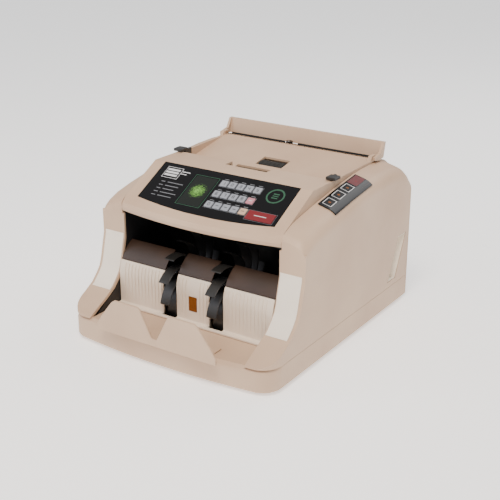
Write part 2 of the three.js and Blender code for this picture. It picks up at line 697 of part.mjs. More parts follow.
function gapScrew() {
  const low = HEIGHT - 17.5 + 0.6;
  const knob = rod("z", GAP_SCREW.x, GAP_SCREW.y, GAP_SCREW.r, low, low + 3.4, 18);
  return joined(knob, rod("z", GAP_SCREW.x, GAP_SCREW.y, SHAFT_R / 2, low - 20, low + 1, 12));
}

// Control panel and its keys

const KEYS = [];
const firstKey = KEY_FIELD.x - KEY_FIELD.w / 2 + KEY_W / 2 + 1;
const rowV = (row) => KEY_FIELD.top - 6.5 - row * ROW_PITCH;
for (let i = 0; i < 5; i++) {
  const x = firstKey + i * KEY_PITCH;
  KEYS.push({ name: "key_top_" + (i + 1), finish: "grey", x, v: rowV(0), w: KEY_W });
}
for (let i = 0; i < 5; i++) {
  const finish = i === 4 ? "pink" : "grey";
  KEYS.push({ name: "key_middle_" + (i + 1), finish, x: firstKey + i * KEY_PITCH, v: rowV(1), w: KEY_W });
}
for (let i = 0; i < 4; i++) {
  const x = firstKey + i * KEY_PITCH;
  KEYS.push({ name: "key_bottom_" + (i + 1), finish: "grey", x, v: rowV(2), w: KEY_W });
}
const redWidth = 31;
const fifth = firstKey + 4 * KEY_PITCH;
KEYS.push({ name: "key_bottom_5", finish: "shell", x: fifth, v: rowV(2), w: KEY_W });
const redX = fifth + KEY_W / 2 + (KEY_PITCH - KEY_W) + redWidth / 2;
KEYS.push({ name: "key_start", finish: "red", x: redX, v: rowV(2) - 2, w: redWidth, d: KEY_D + 4 });

function keyOutline(key, grow) {
  const u = key.w / 2 + grow;
  const v = (key.d ?? KEY_D) / 2 + grow;
  return [
    [key.x - u, key.v - v],
    [key.x + u, key.v - v],
    [key.x + u, key.v + v],
    [key.x - u, key.v + v],
  ];
}

const SCREEN = [
  [-36, -10],
  [-8, -10],
  [-8, -52],
  [-36, -52],
];

function controlPanel() {
  const sheet = prism("z", panelOutline(0), -PANEL_THICK, 0, panelMatrix);
  const holes = KEYS.map((key) => prism("z", keyOutline(key, GAP), -5, 5, panelMatrix));
  const screen = prism("z", SCREEN, -0.6, 5, panelMatrix);
  return cut(sheet, ...holes, screen);
}

function displayWindow() {
  const inner = SCREEN.map(([x, v]) => [x - Math.sign(x + 22) * GAP, v - Math.sign(v + 31) * GAP]);
  return prism("z", inner, -0.6 + GAP, 0.1, panelMatrix);
}

function controlBoard() {
  const level = -KEY_DEEP - KEY_TRAVEL - GAP;
  const half = KEY_FIELD.w / 2 + 1;
  const outline = [
    [KEY_FIELD.x - half, KEY_FIELD.top - 2],
    [KEY_FIELD.x + half, KEY_FIELD.top - 2],
    [KEY_FIELD.x + half, KEY_FIELD.bottom + 2],
    [KEY_FIELD.x - half, KEY_FIELD.bottom + 2],
  ];
  return prism("z", outline, level - 1.6, level, panelMatrix);
}

// Strip of four indicators, lying on the right shoulder.
function indicatorStrip() {
  const tilt = THREE.MathUtils.degToRad(SHOULDER_TILT);
  const from = FACE_Y + 62;
  const to = FACE_Y + 139;
  const crestAt = (y) => {
    const next = CREST.findIndex(([place]) => place >= y);
    const [y0, z0] = CREST[next - 1];
    const [y1, z1] = CREST[next];
    return z0 + ((z1 - z0) * (y - y0)) / (y1 - y0);
  };
  const x0 = BLOCK + 3;
  const centreX = HALF - SHOULDER_R;
  const run = centreX + SHOULDER_R * Math.sin(tilt) - BLOCK - GAP;
  const section = (y, lift) => {
    const crest = crestAt(y);
    const centreZ = crest - run * Math.tan(tilt) - SHOULDER_R * Math.cos(tilt);
    const level = crest - (x0 - BLOCK - GAP) * Math.tan(tilt) + lift / Math.cos(tilt);
    const curve = circle(centreX, centreZ, SHOULDER_R + lift, 5, 90 - SHOULDER_TILT, -32);
    return [[x0, level], ...curve].map(([x, z]) => [x, y, z]);
  };
  const inside = CREST.map(([y]) => y).filter((y) => y > from + 1 && y < to - 1);
  const stations = [from, ...inside, to];
  const rings = stations.map((y) => [...section(y, GAP), ...section(y, GAP + 1).reverse()]);
  return loft(rings, ([x, , z]) => [x, z]);
}

// Electrical pieces

function powerInlet() {
  const { x, z, w, h, deep } = INLET;
  const wall = 2.5;
  const body = box(x - w / 2, x + w / 2, REAR - deep, REAR - 0.5, z - h / 2, z + h / 2);
  const innerHalf = w / 2 - wall;
  const innerHigh = h / 2 - wall;
  const socket = box(x - innerHalf, x + innerHalf, REAR - deep + 4, REAR + 1, z - innerHigh, z + innerHigh);
  return cut(body, socket);
}

function powerSwitch() {
  const { x, z, w, h } = SWITCH;
  const y = REAR - 5;
  const outline = [
    [y - 4, z - h / 2 + 4],
    [REAR - 1, z - h / 2 + 1],
    [REAR - 2.4, z],
    [REAR - 1, z + h / 2 - 1],
    [y - 4, z + h / 2 - 4],
  ];
  return prism("x", outline, x - w / 2 + GAP, x + w / 2 - GAP);
}

function powerUnit() {
  const z0 = BASE_Z + WALL + GAP;
  return box(10, 78, REAR - 82, REAR - 34, z0, z0 + 40);
}

function mainBoard() {
  const x = POCKET - 4;
  return box(x, x + 1.6, AXLE.y + WHEEL_R + 18, REAR - 40, BASE_Z + 20, BASE_Z + 100);
}

function foot(x, y) {
  return rod("z", x, y, 9, 0, FOOT, 20);
}

// Assembly

piece("base_chassis", "shell", baseChassis());
pair("side_cover", "shell", sideCover());
piece("rear_cover", "shell", rearCover());
piece("front_fascia", "shell", frontFascia());
piece("hopper_tray", "shell", hopperTray());
piece("stacker_guard", "shell", stackerGuard());
piece("sensor_window", "amber", sensorWindow());
piece("stop_plate", "shell", stopPlate());
piece("pocket_liner", "black", pocketLiner());
pair("side_frame", "black", sideFrame());

piece("stacker_shaft", "steel", shaft(AXLE));
piece("stacker_wheel_right", "black", stackerWheel(WHEEL_X));
piece("stacker_wheel_left", "black", stackerWheel(-WHEEL_X));
piece("stacker_pulley", "black", pulley(AXLE));
piece("feed_shaft", "steel", shaft(FEED));
pair("feed_roller", "rubber", collar(FEED, FEED_R, 24, 44));
piece("feed_pulley", "black", pulley(FEED));
piece("pickup_shaft", "steel", shaft(PICKUP));
piece("pickup_roller", "rubber", collar(PICKUP, PICKUP_R, -15, 15));
piece("pickup_pulley", "black", pulley(PICKUP));
piece("drive_motor", "steel", driveMotor());
piece("motor_pulley", "black", motorPulley());
piece("drive_belt", "rubber", driveBelt());
pair("note_guide", "black", noteGuide());
piece("support_flap", "shell", supportFlap());
piece("gap_screw", "black", gapScrew());

piece("control_panel", "gloss", controlPanel());
piece("display_window", "green", displayWindow());
piece("control_board", "board", controlBoard());
for (const key of KEYS) {
  piece(key.name, key.finish, prism("z", keyOutline(key, 0), -KEY_DEEP, KEY_RISE, panelMatrix));
}
piece("indicator_strip", "gloss", indicatorStrip());

piece("power_inlet", "black", powerInlet());
piece("power_switch", "gloss", powerSwitch());
piece("power_unit", "steel", powerUnit());
piece("main_board", "board", mainBoard());
const footX = HALF - 24;
const feet = [
  ["foot_front_right", footX, FRONT + 45],
  ["foot_front_left", -footX, FRONT + 45],
  ["foot_rear_right", footX, REAR - 28],
  ["foot_rear_left", -footX, REAR - 28],
];
for (const [name, x, y] of feet) piece(name, "rubber", foot(x, y));

export default machine;
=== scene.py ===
"""Desktop banknote counting machine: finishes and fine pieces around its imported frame. Metres, +Z up."""
import math

import bmesh
import bpy
from mathutils import Matrix, Vector
from mathutils.bvhtree import BVHTree
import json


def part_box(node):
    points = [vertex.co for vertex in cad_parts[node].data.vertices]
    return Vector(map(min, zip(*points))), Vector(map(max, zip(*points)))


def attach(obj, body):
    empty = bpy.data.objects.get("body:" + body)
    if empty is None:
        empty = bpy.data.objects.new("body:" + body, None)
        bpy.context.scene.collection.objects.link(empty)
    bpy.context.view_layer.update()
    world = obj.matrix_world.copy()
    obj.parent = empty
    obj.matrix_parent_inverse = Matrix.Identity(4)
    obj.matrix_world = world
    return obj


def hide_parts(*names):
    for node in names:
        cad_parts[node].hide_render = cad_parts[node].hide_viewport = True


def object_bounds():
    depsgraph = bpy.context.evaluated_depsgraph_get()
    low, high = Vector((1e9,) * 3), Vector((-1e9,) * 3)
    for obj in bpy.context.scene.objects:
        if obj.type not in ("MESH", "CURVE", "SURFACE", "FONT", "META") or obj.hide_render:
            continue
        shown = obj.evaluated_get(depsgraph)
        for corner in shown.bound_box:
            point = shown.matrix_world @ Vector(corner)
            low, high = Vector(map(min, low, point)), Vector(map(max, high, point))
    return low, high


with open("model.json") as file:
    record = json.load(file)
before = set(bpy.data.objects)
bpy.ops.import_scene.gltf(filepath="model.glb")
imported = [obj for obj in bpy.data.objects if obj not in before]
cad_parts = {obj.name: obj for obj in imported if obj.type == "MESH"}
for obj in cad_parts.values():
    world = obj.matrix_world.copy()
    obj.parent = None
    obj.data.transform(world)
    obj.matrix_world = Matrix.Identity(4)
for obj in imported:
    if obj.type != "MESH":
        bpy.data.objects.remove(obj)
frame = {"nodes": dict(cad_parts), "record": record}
cad_low, cad_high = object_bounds()
NODES = frame["nodes"]
BODY_OF = {n: body for body, members in frame["record"]["behaviour"]["bodies"].items() for n in members}
SLOT_OF = {part["node"]: part["material_slot"] for part in frame["record"]["subparts"]}
MM = 0.001


# Node trees


def linear(hex_colour):
    """sRGB hex to linear RGBA."""
    values = [int(hex_colour[i : i + 2], 16) / 255 for i in (1, 3, 5)]
    return [v / 12.92 if v <= 0.04045 else ((v + 0.055) / 1.055) ** 2.4 for v in values] + [1.0]


def add(tree, kind, inputs=None, **settings):
    """Adds a node, with its settings, its input values and its links."""
    made = tree.nodes.new(kind)
    for name, value in settings.items():
        setattr(made, name, value)
    for name, value in (inputs or {}).items():
        if isinstance(value, bpy.types.NodeSocket):
            tree.links.new(value, made.inputs[name])
        else:
            made.inputs[name].default_value = value
    return made


def blank(name):
    """A material with only its shader and output, and the place on the piece in metres."""
    made = bpy.data.materials.new(name)
    made.use_nodes = True
    tree = made.node_tree
    tree.nodes.clear()
    shader = add(tree, "ShaderNodeBsdfPrincipled")
    add(tree, "ShaderNodeOutputMaterial", {"Surface": shader.outputs[0]})
    place = add(tree, "ShaderNodeTexCoord").outputs["Object"]
    return made, tree, shader, place


def per_metre(size_mm):
    """Noise scale whose features are about this many millimetres across."""
    return 1000 / size_mm


def mixed(tree, factor, first, second):
    """Colour that goes from one hex value to another with the factor."""
    ramp = add(tree, "ShaderNodeValToRGB", {"Fac": factor})
    ramp.color_ramp.elements[0].color = linear(first)
    ramp.color_ramp.elements[1].color = linear(second)
    ramp.color_ramp.elements[0].position = 0.3
    ramp.color_ramp.elements[1].position = 0.7
    return ramp.outputs["Color"]


def spread(tree, factor, low, high):
    """Value that goes from low to high with the factor."""
    return add(tree, "ShaderNodeMapRange", {"Value": factor, "To Min": low, "To Max": high}).outputs[0]


def moulded_abs(name, light, dark, rough=0.5, grain_mm=0.9, grain_depth=0.25):
    """Injection-moulded ABS: fine spark-eroded texture, a soft sheen and slight tone drift over a panel.

    The real texture is about 0.1 mm; it is drawn several times coarser so that it shows."""
    drift_mm, touch_mm = 70, 28
    made, tree, shader, place = blank(name)
    drift = add(tree, "ShaderNodeTexNoise", {"Vector": place, "Scale": per_metre(drift_mm), "Detail": 3.0})
    tree.links.new(mixed(tree, drift.outputs[0], dark, light), shader.inputs["Base Color"])
    grain = add(tree, "ShaderNodeTexNoise", {"Vector": place, "Scale": per_metre(grain_mm), "Detail": 2.0})
    touch = add(tree, "ShaderNodeTexNoise", {"Vector": place, "Scale": per_metre(touch_mm), "Detail": 4.0})
    tree.links.new(spread(tree, touch.outputs[0], rough - 0.07, rough + 0.07), shader.inputs["Roughness"])
    depth = {"Height": grain.outputs[0], "Strength": grain_depth, "Distance": 0.08 * MM}
    bump = add(tree, "ShaderNodeBump", depth)
    tree.links.new(bump.outputs[0], shader.inputs["Normal"])
    shader.inputs["IOR"].default_value = 1.53
    return made


def overlay_film(name, tone, rough=0.14):
    """Printed polyester overlay: glossy, almost flat, with faint dust and finger haze."""
    made, tree, shader, place = blank(name)
    haze = add(tree, "ShaderNodeTexNoise", {"Vector": place, "Scale": per_metre(35), "Detail": 5.0})
    tree.links.new(spread(tree, haze.outputs[0], rough - 0.04, rough + 0.12), shader.inputs["Roughness"])
    ripple = add(tree, "ShaderNodeTexNoise", {"Vector": place, "Scale": per_metre(16)})
    depth = {"Height": ripple.outputs[0], "Strength": 0.15, "Distance": 0.1 * MM}
    bump = add(tree, "ShaderNodeBump", depth)
    tree.links.new(bump.outputs[0], shader.inputs["Normal"])
    shader.inputs["Base Color"].default_value = linear(tone)
    shader.inputs["IOR"].default_value = 1.45
    shader.inputs["Specular IOR Level"].default_value = 0.3
    return made


def metal(name, light, dark, rough, streak=(1, 1, 1), streak_mm=0.8):
    """Bare or plated metal; streaks run along the axis with the small factor."""
    made, tree, shader, place = blank(name)
    along = add(tree, "ShaderNodeMapping", {"Vector": place, "Scale": Vector(streak)})
    pattern = {"Vector": along.outputs[0], "Scale": per_metre(streak_mm), "Detail": 4.0}
    lines = add(tree, "ShaderNodeTexNoise", pattern)
    tree.links.new(mixed(tree, lines.outputs[0], dark, light), shader.inputs["Base Color"])
    tree.links.new(spread(tree, lines.outputs[0], rough - 0.08, rough + 0.1), shader.inputs["Roughness"])
    bump = add(tree, "ShaderNodeBump", {"Height": lines.outputs[0], "Strength": 0.2, "Distance": 0.03 * MM})
    tree.links.new(bump.outputs[0], shader.inputs["Normal"])
    shader.inputs["Metallic"].default_value = 1.0
    return made


def moulded_rubber(name, tone, worn):
    """Nitrile rubber: dull, with a fine bloom."""
    made, tree, shader, place = blank(name)
    bloom = add(tree, "ShaderNodeTexNoise", {"Vector": place, "Scale": per_metre(6), "Detail": 6.0})
    tree.links.new(mixed(tree, bloom.outputs[0], tone, worn), shader.inputs["Base Color"])
    grain = add(tree, "ShaderNodeTexNoise", {"Vector": place, "Scale": per_metre(0.7)})
    bump = add(tree, "ShaderNodeBump", {"Height": grain.outputs[0], "Strength": 0.4, "Distance": 0.1 * MM})
    tree.links.new(bump.outputs[0], shader.inputs["Normal"])
    shader.inputs["Roughness"].default_value = 0.82
    return made


def lit_display(name, tone, glow, centre, reach_mm):
    """Green vacuum display behind a tinted window: dots 1.2 mm apart that glow round the middle."""
    made, tree, shader, place = blank(name)
    dots = add(tree, "ShaderNodeTexVoronoi", {"Vector": place, "Scale": per_metre(1.2)})
    lit = spread(tree, dots.outputs["Distance"], 1.0, 0.2)
    away = add(tree, "ShaderNodeVectorMath", {0: place, 1: centre}, operation="DISTANCE").outputs["Value"]
    fade = add(
        tree,
        "ShaderNodeMapRange",
        {"Value": away, "From Max": reach_mm * MM, "To Min": 1.0, "To Max": 0.0},
        interpolation_type="SMOOTHSTEP",
    )
    light = add(tree, "ShaderNodeMath", {0: lit, 1: fade.outputs[0]}, operation="MULTIPLY")
    tree.links.new(mixed(tree, light.outputs[0], tone, glow), shader.inputs["Base Color"])
    tree.links.new(mixed(tree, light.outputs[0], tone, glow), shader.inputs["Emission Color"])
    tree.links.new(spread(tree, light.outputs[0], 0.0, 0.3), shader.inputs["Emission Strength"])
    shader.inputs["Roughness"].default_value = 0.15
    return made


def solder_mask(name, mask, copper):
    """Circuit board: green mask over copper tracks about 1.5 mm apart."""
    made, tree, shader, place = blank(name)
    tracks = add(tree, "ShaderNodeTexBrick", {"Vector": place, "Scale": per_metre(6), "Mortar Size": 0.04})
    tracks.inputs["Color1"].default_value = linear(mask)
    tracks.inputs["Color2"].default_value = linear(mask)
    tracks.inputs["Mortar"].default_value = linear(copper)
    tree.links.new(tracks.outputs["Color"], shader.inputs["Base Color"])
    shader.inputs["Roughness"].default_value = 0.32
    return made


def screen_ink(name, tone):
    """Screen-printed ink, slightly uneven."""
    made, tree, shader, place = blank(name)
    cover = add(tree, "ShaderNodeTexNoise", {"Vector": place, "Scale": per_metre(1.5)})
    tree.links.new(spread(tree, cover.outputs[0], 0.35, 0.5), shader.inputs["Roughness"])
    shader.inputs["Base Color"].default_value = linear(tone)
    return made


# Screen middle on the sloping panel
screen_low, screen_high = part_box("display_window")
SCREEN_MIDDLE = (Vector(screen_low) + Vector(screen_high)) / 2

SHELL = moulded_abs("beige_moulded_abs", "#ccb096", "#c0a288")
PALE = moulded_abs("pale_beige_moulded_abs", "#eadbca", "#e0d0be")
# Cream finish that paints light: a highlight on the slanted column faces, and brightness in the shaded grip
# recesses.
CREAM_PAINTED_LIGHT = moulded_abs("cream_abs_painted_light", "#f6ecde", "#efe3d2", rough=0.42)
NYLON = moulded_abs("black_moulded_nylon", "#242322", "#161514", rough=0.4, grain_depth=0.15)
# Dark brown that paints shade: the shadowed top of the stacker guard under the fascia.
BROWN_PAINTED_SHADE = moulded_abs("brown_nylon_painted_shade", "#3a2618", "#26180f", rough=0.45, grain_depth=0.2)
OVERLAY = overlay_film("black_polyester_overlay", "#0a090b")
STEEL = metal("ground_steel", "#c6c8ca", "#8f9294", 0.28, streak=(0.1, 1, 1))
ZINC = metal("zinc_plated_steel", "#b9bcbb", "#96999a", 0.36, streak_mm=3)
BRASS = metal("turned_brass", "#c9a45c", "#a8843f", 0.3, streak=(0.1, 1, 1))
PAINTED = moulded_abs("black_powder_coat", "#17161a", "#0f0e10", rough=0.55, grain_mm=0.6, grain_depth=0.5)
RUBBER = moulded_rubber("black_nitrile_rubber", "#191919", "#262524")
DISPLAY = lit_display("green_lit_display", "#0d140c", "#74b04c", SCREEN_MIDDLE, 19)
AMBER = overlay_film("amber_acrylic", "#7a4516")
BOARD = solder_mask("green_solder_mask", "#17472c", "#2f6a3f")
KEY_GREY = moulded_abs("grey_silicone_key", "#9a9fa9", "#8a8f9a", rough=0.55)
KEY_PINK = moulded_abs("rose_silicone_key", "#c98693", "#b87481", rough=0.55)
KEY_RED = moulded_abs("red_silicone_key", "#7a0c18", "#640913", rough=0.5)
INK_WHITE = screen_ink("white_screen_ink", "#d4d6da")
INK_GREY = screen_ink("grey_screen_ink", "#6f7278")
INK_GREEN = screen_ink("green_screen_ink", "#2c5640")
INK_RED = screen_ink("red_screen_ink", "#5e1418")
FINISH = {
    "beige_shell": SHELL,
    "black_plastic": NYLON,
    "black_steel": PAINTED,
    "gloss_overlay": OVERLAY,
    "steel": STEEL,
    "plated_steel": ZINC,
    "rubber": RUBBER,
    "green_display": DISPLAY,
    "amber_window": AMBER,
    "grey_key": KEY_GREY,
    "pink_key": KEY_PINK,
    "red_key": KEY_RED,
    "circuit_board": BOARD,
}

# Pieces


def piece(name, mesh, material, body="housing", replaces=()):
    """Puts a mesh in the scene, hangs it on its body and hides the frame nodes that it stands for."""
    made = bpy.data.objects.new(name, mesh)
    bpy.context.scene.collection.objects.link(made)
    made.data.materials.clear()
    made.data.materials.append(material)
    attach(made, body)
    if replaces:
        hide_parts(*replaces)
    return made


def soften(made, width_mm, segments=3, angle=28):
    """Rounds the edges sharper than an angle and keeps flat faces flat in shading."""
    for polygon in made.data.polygons:
        polygon.use_smooth = True
    bevel = made.modifiers.new("rounded_edges", "BEVEL")
    bevel.width = width_mm * MM
    bevel.segments = segments
    bevel.limit_method = "ANGLE"
    bevel.angle_limit = math.radians(angle)
    bevel.use_clamp_overlap = True
    bevel.miter_outer = "MITER_ARC"
    normals = made.modifiers.new("face_weighted_normals", "WEIGHTED_NORMAL")
    normals.keep_sharp = True
    return made


def rounded(node, width_mm, merge_flat=True, segments=3, angle=28, material=None):
    """A copy of a frame node with rounded edges, which stands for the node; a holed face isn't merged."""
    mesh = NODES[node].data.copy()
    cleaned = bmesh.new()
    cleaned.from_mesh(mesh)
    bmesh.ops.remove_doubles(cleaned, verts=cleaned.verts, dist=0.005 * MM)
    if merge_flat:
        flat = math.radians(0.6)
        bmesh.ops.dissolve_limit(cleaned, angle_limit=flat, verts=cleaned.verts, edges=cleaned.edges)
    cleaned.to_mesh(mesh)
    cleaned.free()
    if "sharp_face" in mesh.attributes:
        mesh.attributes.remove(mesh.attributes["sharp_face"])
    slot = SLOT_OF[node]
    made = piece(node + "_moulding", mesh, material or FINISH[slot], BODY_OF[node], [node])
    return soften(made, width_mm, segments, angle)


def mesh_of(name, points, faces):
    """A mesh from points and faces, with its faces turned outwards."""
    mesh = bpy.data.meshes.new(name)
    mesh.from_pydata([Vector(p) for p in points], [], faces)
    mesh.update()
    tidy = bmesh.new()
    tidy.from_mesh(mesh)
    bmesh.ops.recalc_face_normals(tidy, faces=tidy.faces)
    tidy.to_mesh(mesh)
    tidy.free()
    return mesh


def loft(name, rings, closed=True):
    """A skin through rings of equal count, each ring closed, with flat ends."""
    count = len(rings[0])
    faces = []
    for i in range(len(rings) - 1):
        for j in range(count):
            k = (j + 1) % count
            faces.append((i * count + j, i * count + k, (i + 1) * count + k, (i + 1) * count + j))
    if closed:
        faces.append(tuple(range(count)))
        faces.append(tuple((len(rings) - 1) * count + j for j in range(count)))
    return mesh_of(name, [p for ring in rings for p in ring], faces)


def arc(u, v, radius, count, start=0, sweep=360):
    """Points round a circle, or along a part of it, with angles in degrees."""
    steps = count if sweep == 360 else count - 1
    angles = [math.radians(start + sweep * i / steps) for i in range(count)]
    return [(u + radius * math.cos(a), v + radius * math.sin(a)) for a in angles]


def bar(name, outline, axis, low, high, matrix=None):
    """An outline across an axis (y,z for x; x,z for y; x,y for z), run along it. Metres."""
    place = {
        "x": lambda u, v, w: (w, u, v),
        "y": lambda u, v, w: (u, w, v),
        "z": lambda u, v, w: (u, v, w),
    }[axis]
    rings = [[place(u, v, w) for u, v in outline] for w in (low, high)]
    if matrix:
        rings = [[matrix @ Vector(p) for p in ring] for ring in rings]
    return loft(name, rings)


def rectangle(u0, u1, v0, v1):
    """The four corners of a rectangle, in order."""
    return [(u0, v0), (u1, v0), (u1, v1), (u0, v1)]


def join_meshes(name, meshes):
    """One mesh from several, in the same frame."""
    joined = bmesh.new()
    for mesh in meshes:
        joined.from_mesh(mesh)
    made = bpy.data.meshes.new(name)
    joined.to_mesh(made)
    joined.free()
    return made


# Places on the object, from the frame

JOINTS = {joint["name"]: joint for joint in frame["record"]["behaviour"]["joints"]}
AXLE = Vector(JOINTS["stacker_spin"]["pos_m"])
wheel_low, wheel_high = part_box("stacker_wheel_right")
WHEEL_R = (wheel_high.z - wheel_low.z) / 2
WHEEL_HALF = (wheel_high.x - wheel_low.x) / 2
WHEEL_X = (wheel_high.x + wheel_low.x) / 2
GUARD_R = AXLE.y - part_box("sensor_window")[0].y
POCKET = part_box("stacker_guard")[1].x
PANEL_SHEET = 1.2 * MM

# Panel frame: its origin is the middle of the panel's rear edge, +Y up the slope, +Z out of the panel
into = Vector(JOINTS["key_start_press"]["axis"])
panel_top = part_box("control_panel")[1]
PANEL = Matrix.Translation((0, panel_top.y - PANEL_SHEET * into.y, panel_top.z)) @ Matrix(
    ((1, 0, 0, 0), (0, -into.z, -into.y, 0), (0, into.y, -into.z, 0), (0, 0, 0, 1))
)


def on_panel(node):
    """Middle and half size of a node's face, in the panel's plane."""
    spots = [PANEL.inverted() @ vertex.co for vertex in NODES[node].data.vertices]
    low = [min(spot[i] for spot in spots) for i in range(3)]
    high = [max(spot[i] for spot in spots) for i in range(3)]
    middle = ((low[0] + high[0]) / 2, (low[1] + high[1]) / 2, high[2])
    return middle, ((high[0] - low[0]) / 2, (high[1] - low[1]) / 2)


def surface_of(node):
    """A node's skin, for casting patches onto it."""
    return BVHTree.FromPolygons(
        [vertex.co for vertex in NODES[node].data.vertices],
        [polygon.vertices for polygon in NODES[node].data.polygons],
    )


def draped(name, surface, towards, corners, lift_mm, thick_mm, across=8, along=8):
    """A thin patch that follows a surface, cast along a direction from the four corners of a flat quad."""
    towards = Vector(towards)
    a, b, c, d = [Vector(corner) for corner in corners]
    grid = []
    for i in range(along + 1):
        left = a.lerp(d, i / along)
        right = b.lerp(c, i / along)
        for j in range(across + 1):
            hit, normal, _, _ = surface.ray_cast(left.lerp(right, j / across), towards)
            out = -normal if normal.dot(towards) > 0 else normal
            grid.append((hit, out))
    count = len(grid)
    low = [spot + out * (lift_mm * MM) for spot, out in grid]
    high = [spot + out * ((lift_mm + thick_mm) * MM) for spot, out in grid]
    wide = across + 1
    faces = []
    for i in range(along):
        for j in range(across):
            k = i * wide + j
            faces.append((k, k + 1, k + 1 + wide, k + wide))
            faces.append(tuple(count + n for n in (k, k + wide, k + 1 + wide, k + 1)))
    rim = list(range(across)) + [across + i * wide for i in range(along)]
    rim += [along * wide + across - j for j in range(across)] + [(along - i) * wide for i in range(along)]
    for k, n in zip(rim, rim[1:] + rim[:1]):
        faces.append((k, n, count + n, count + k))
    return mesh_of(name, low + high, faces)


# Casings

# Edge radius of each casing, in millimetres
for node, width in (
    ("base_chassis", 1.2),
    ("side_cover_right", 1.1),
    ("side_cover_left", 1.1),
    ("front_fascia", 0.9),
    ("hopper_tray", 0.7),
    ("stop_plate", 0.9),
    ("support_flap", 0.8),
    ("pocket_liner", 0.5),
    ("side_frame_right", 0.3),
    ("side_frame_left", 0.3),
    ("note_guide_right", 0.6),
    ("note_guide_left", 0.6),
    ("power_inlet", 0.5),
    ("power_switch", 0.8),
    ("display_window", 0.3),
    ("indicator_strip", 0.4),
    ("power_unit", 1.0),
):
    rounded(node, width)
rounded("rear_cover", 0.5, merge_flat=False, segments=2)
rounded("stacker_guard", 0.7, material=PALE)
for node in NODES:
    if node.startswith("key_"):
        rounded(node, 0.6)
    NODES[node].data.materials.clear()
    NODES[node].data.materials.append(FINISH[SLOT_OF[node]])


def column_highlight_plates():
    """Thin cream plates on the slanted faces of the two front columns: a painted highlight, lighter than
    the shell, for the light these facets catch.
    """
    for side, name in ((1, "right"), (-1, "left")):
        surface = surface_of("side_cover_" + name)
        near, far = side * (POCKET + 1.5 * MM), side * (cad_high.x - 3.5 * MM)
        ahead = cad_low.y - 20 * MM
        low, high = 47 * MM, 103 * MM
        corners = [(near, ahead, low), (far, ahead, low), (far, ahead, high), (near, ahead, high)]
        plate = draped("column_highlight_plate_" + name, surface, (0, 1, 0), corners, 0.05, 0.7, 4, 28)
        soften(piece("column_highlight_plate_" + name, plate, CREAM_PAINTED_LIGHT, "housing"), 0.3, 2, 50)


def grip_painted_light_liners():
    """Cream floor and walls of each hand grip, 9 mm deep in the side cover: painted light that brightens
    the shaded recess.
    """
    low, lean, wide, tall = 34 * MM, 22 * MM, 19 * MM, 48 * MM
    y = cad_high.y - 49 * MM
    inset = 0.6 * MM
    outline = [
        (y + inset, low + inset),
        (y + wide - inset, low + inset),
        (y + lean + wide - inset, low + tall - inset),
        (y + lean + inset, low + tall - inset),
    ]
    thin = 0.5 * MM
    within = [
        (outline[0][0] + thin, outline[0][1] + thin),
        (outline[1][0] - thin, outline[1][1] + thin),
        (outline[2][0] - thin, outline[2][1] - thin),
        (outline[3][0] + thin, outline[3][1] - thin),
    ]
    floor, mouth = cad_high.x - 9 * MM, cad_high.x - 0.6 * MM
    for side, name in ((1, "right"), (-1, "left")):
        low_x, high_x = sorted((side * floor, side * (floor + 0.8 * MM)))
        parts = [bar("floor", outline, "x", low_x, high_x)]
        low_x, high_x = sorted((side * (floor + 0.8 * MM), side * mouth))
        for i in range(4):
            k = (i + 1) % 4
            wall = [outline[i], outline[k], within[k], within[i]]
            parts.append(bar("wall", wall, "x", low_x, high_x))
        mesh = join_meshes("grip_painted_light_liner_" + name, parts)
        piece("grip_painted_light_liner_" + name, mesh, CREAM_PAINTED_LIGHT, "housing")


# Stacker: wheels, guard ribs and the brown hood over the guard, whose brown is painted shade


def stacker_wheel(side, name):
    """Nylon hub with twelve curved fins that thin towards their tips."""
    hub_r, bore = 15 * MM, 6 * MM
    fins, sweep, slices_each = 12, math.radians(48), 15
    root_thick, tip_thick = 2.6 * MM, 1.3 * MM
    low, high = side * WHEEL_X - WHEEL_HALF, side * WHEEL_X + WHEEL_HALF
    inset = 0.4 * MM
    chamfer = 0.3 * MM
    rings = [
        [(x, AXLE.y + u, AXLE.z + v) for u, v in arc(0, 0, radius, 64)]
        for x, radius in (
            (low, bore),
            (low, hub_r - 3 * MM),
            (low + inset * 3, hub_r - 2.2 * MM),
            (low + inset, hub_r - 1.4 * MM),
            (low + inset, hub_r - inset),
            (low + 2 * inset, hub_r),
            (high - 2 * inset, hub_r),
            (high - inset, hub_r - inset),
            (high - inset, hub_r - 1.4 * MM),
            (high - inset * 3, hub_r - 2.2 * MM),
            (high, hub_r - 3 * MM),
            (high, bore),
        )
    ]
    parts = [loft("hub", rings)]
    for i in range(fins):
        turn = math.tau * i / fins
        slices = []
        for k in range(slices_each):
            share = k / (slices_each - 1)
            radius = hub_r - 2 * MM + share * (WHEEL_R - hub_r + 1.9 * MM)
            thick = root_thick + share * (tip_thick - root_thick)
            angle = turn + sweep * share**1.4
            section = []
            for x, shift in (
                (low, chamfer),
                (low + chamfer, 0),
                (high - chamfer, 0),
                (high, chamfer),
                (high, thick - chamfer),
                (high - chamfer, thick),
                (low + chamfer, thick),
                (low, thick - chamfer),
            ):
                turned = angle + shift / radius
                section.append((x, AXLE.y + radius * math.cos(turned), AXLE.z + radius * math.sin(turned)))
            slices.append(section)
        parts.append(loft("fin", slices))
    node = "stacker_wheel_" + name
    mesh = join_meshes(node, parts)
    wheel = piece("finned_wheel_" + name, mesh, NYLON, "stacker", [node])
    soften(wheel, 0.15, 2, 40)


